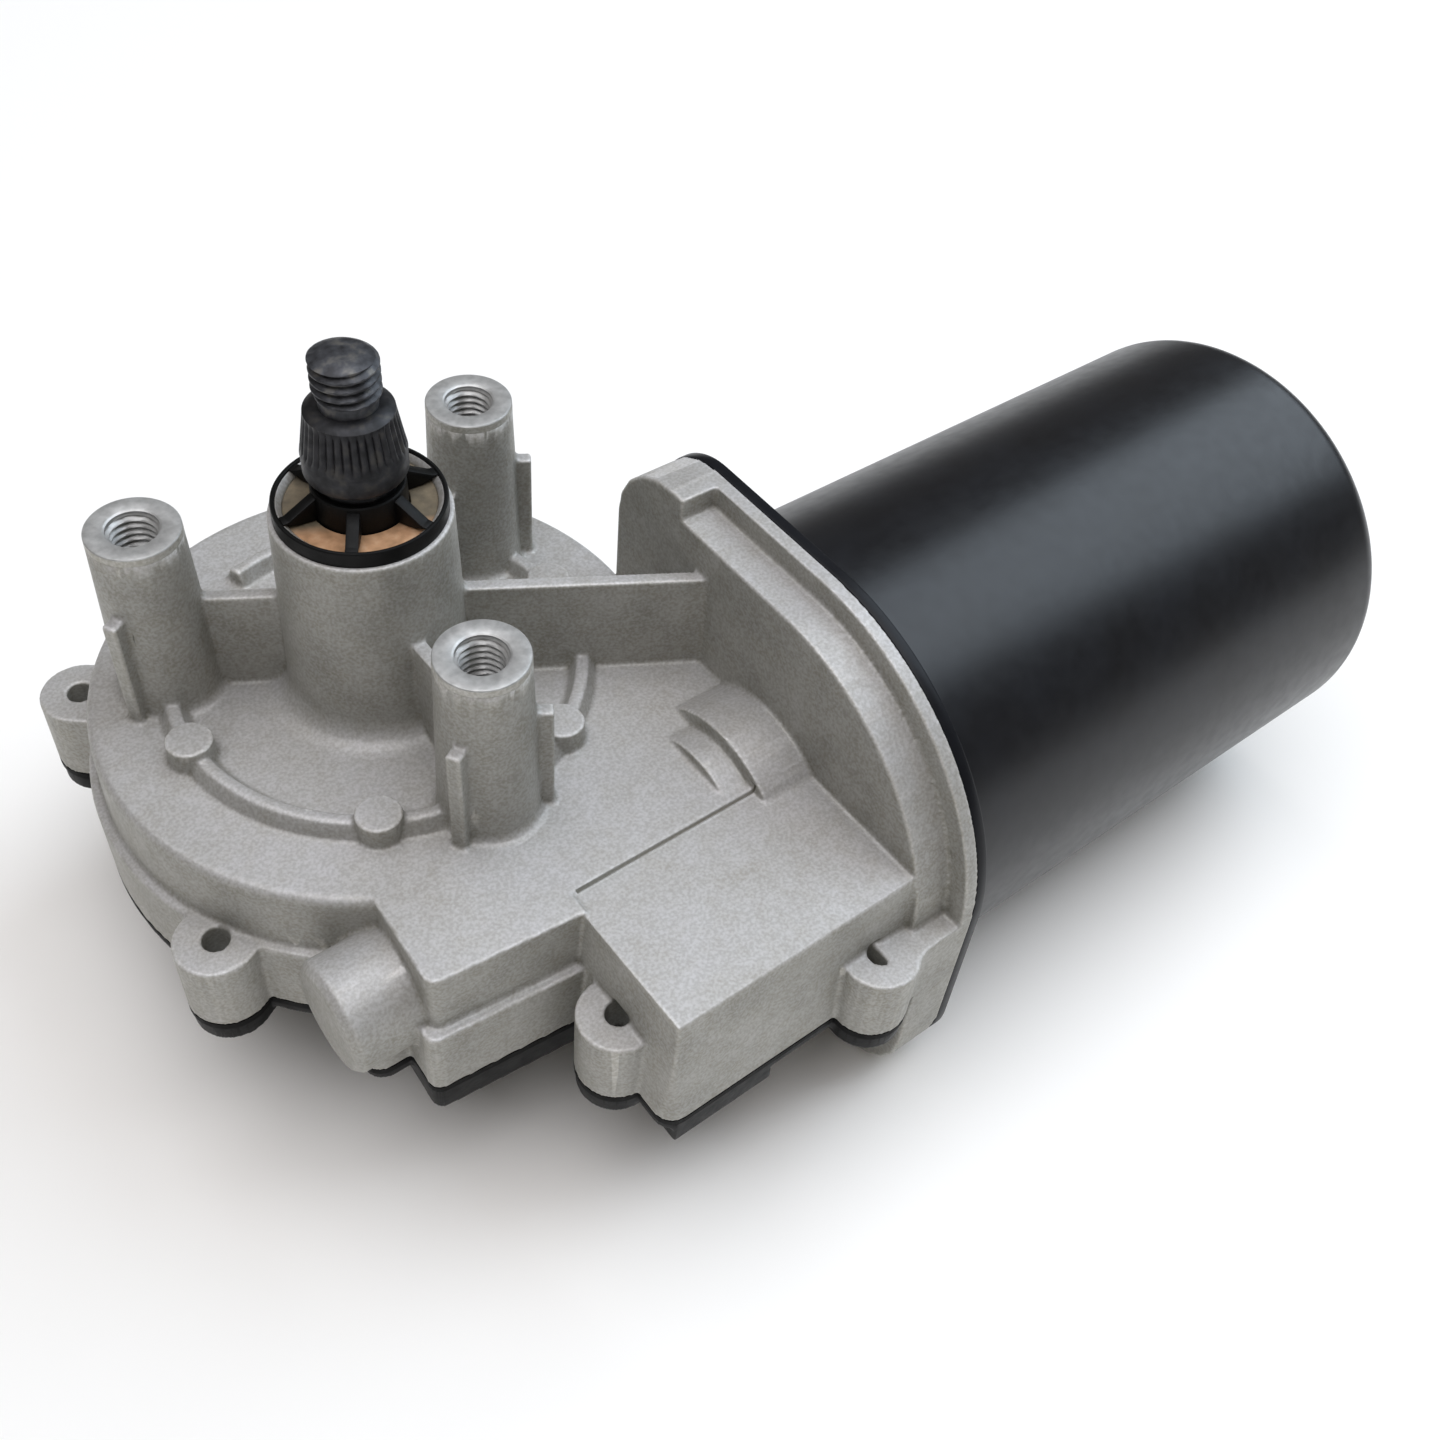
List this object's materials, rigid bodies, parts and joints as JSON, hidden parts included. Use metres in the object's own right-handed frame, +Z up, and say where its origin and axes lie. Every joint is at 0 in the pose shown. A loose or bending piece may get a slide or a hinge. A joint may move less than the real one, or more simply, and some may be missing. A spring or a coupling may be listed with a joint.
{
  "type": "wiper motor",
  "caption": "Wiper gear motor: a can motor turns an output shaft through a worm gear, in a cast case with tall mounting pillars, a bottom cover and a connector.",
  "frame": {"origin": "on the output shaft's axis, level with the tops of the three mounting pillars", "axes": "+Z up the output shaft, +X along the motor axis towards the steel can, +Y away from the motor axis"},
  "size_m": [0.2216, 0.143, 0.121],
  "materials": {
    "cast_aluminium": "as cast, matt",
    "black_paint": "satin black paint",
    "black_plastic": "moulded, matt",
    "black_rubber": "matt",
    "zinc_steel": "zinc plated",
    "dark_steel": "phosphated",
    "bare_steel": "ground",
    "bronze": "sintered",
    "brass": "rolled",
    "copper": "drawn",
    "nylon": "moulded",
    "ferrite": "ceramic, dull",
    "core_steel": "stacked laminations",
    "carbon": "pressed carbon",
    "board": "laminate",
    "red_wire": "insulation",
    "washer_fibre": "pressed fibre"
  },
  "bodies": {
    "housing": {"gear_housing": "cast_aluminium", "cover_gasket": "black_rubber", "bottom_cover": "black_plastic", "cover_screws": "zinc_steel", "connector_pins": "brass", "contact_carrier": "nylon", "park_contacts": "brass", "boss_cap": "black_plastic", "sealing_washer": "washer_fibre", "upper_bush": "bronze", "lower_bush": "bronze", "nose_bush": "bronze", "thrust_pad": "bare_steel", "centre_bush": "bronze", "centre_bush_retainer": "bare_steel", "pole_housing": "black_paint", "flange_seal": "black_rubber", "flange_screws": "zinc_steel", "magnets": "ferrite", "magnet_clips": "bare_steel", "rear_bush": "bronze", "rear_bush_clip": "bare_steel", "brush_plate": "board", "brush_plate_screws": "zinc_steel", "brush_holders": "brass", "carbon_brushes": "carbon", "brush_springs": "bare_steel", "suppression_chokes": "copper", "lead_grommet": "black_rubber", "motor_leads": "red_wire"},
    "output": {"output_shaft": "dark_steel", "gear_rim": "nylon", "gear_hub": "bare_steel", "contact_disc": "brass", "thrust_washer": "bronze", "retaining_ring": "bare_steel"},
    "armature": {"armature_shaft": "bare_steel", "worm": "bare_steel", "armature_core": "core_steel", "windings": "copper", "commutator": "copper", "thrust_ball": "bare_steel"}
  },
  "joints": [
    {"name": "armature_spin", "type": "hinge", "parent": "housing", "child": "armature", "pos_m": [0, -0.04625, -0.0468], "axis": [1, 0, 0], "continuous": true},
    {"name": "output_spin", "type": "hinge", "parent": "housing", "child": "output", "pos_m": [0, 0, 0], "axis": [0, 0, 1], "continuous": true}
  ],
  "couplings": [
    {"joint": "output_spin", "follows": "armature_spin", "ratio": -0.015625}
  ]
}
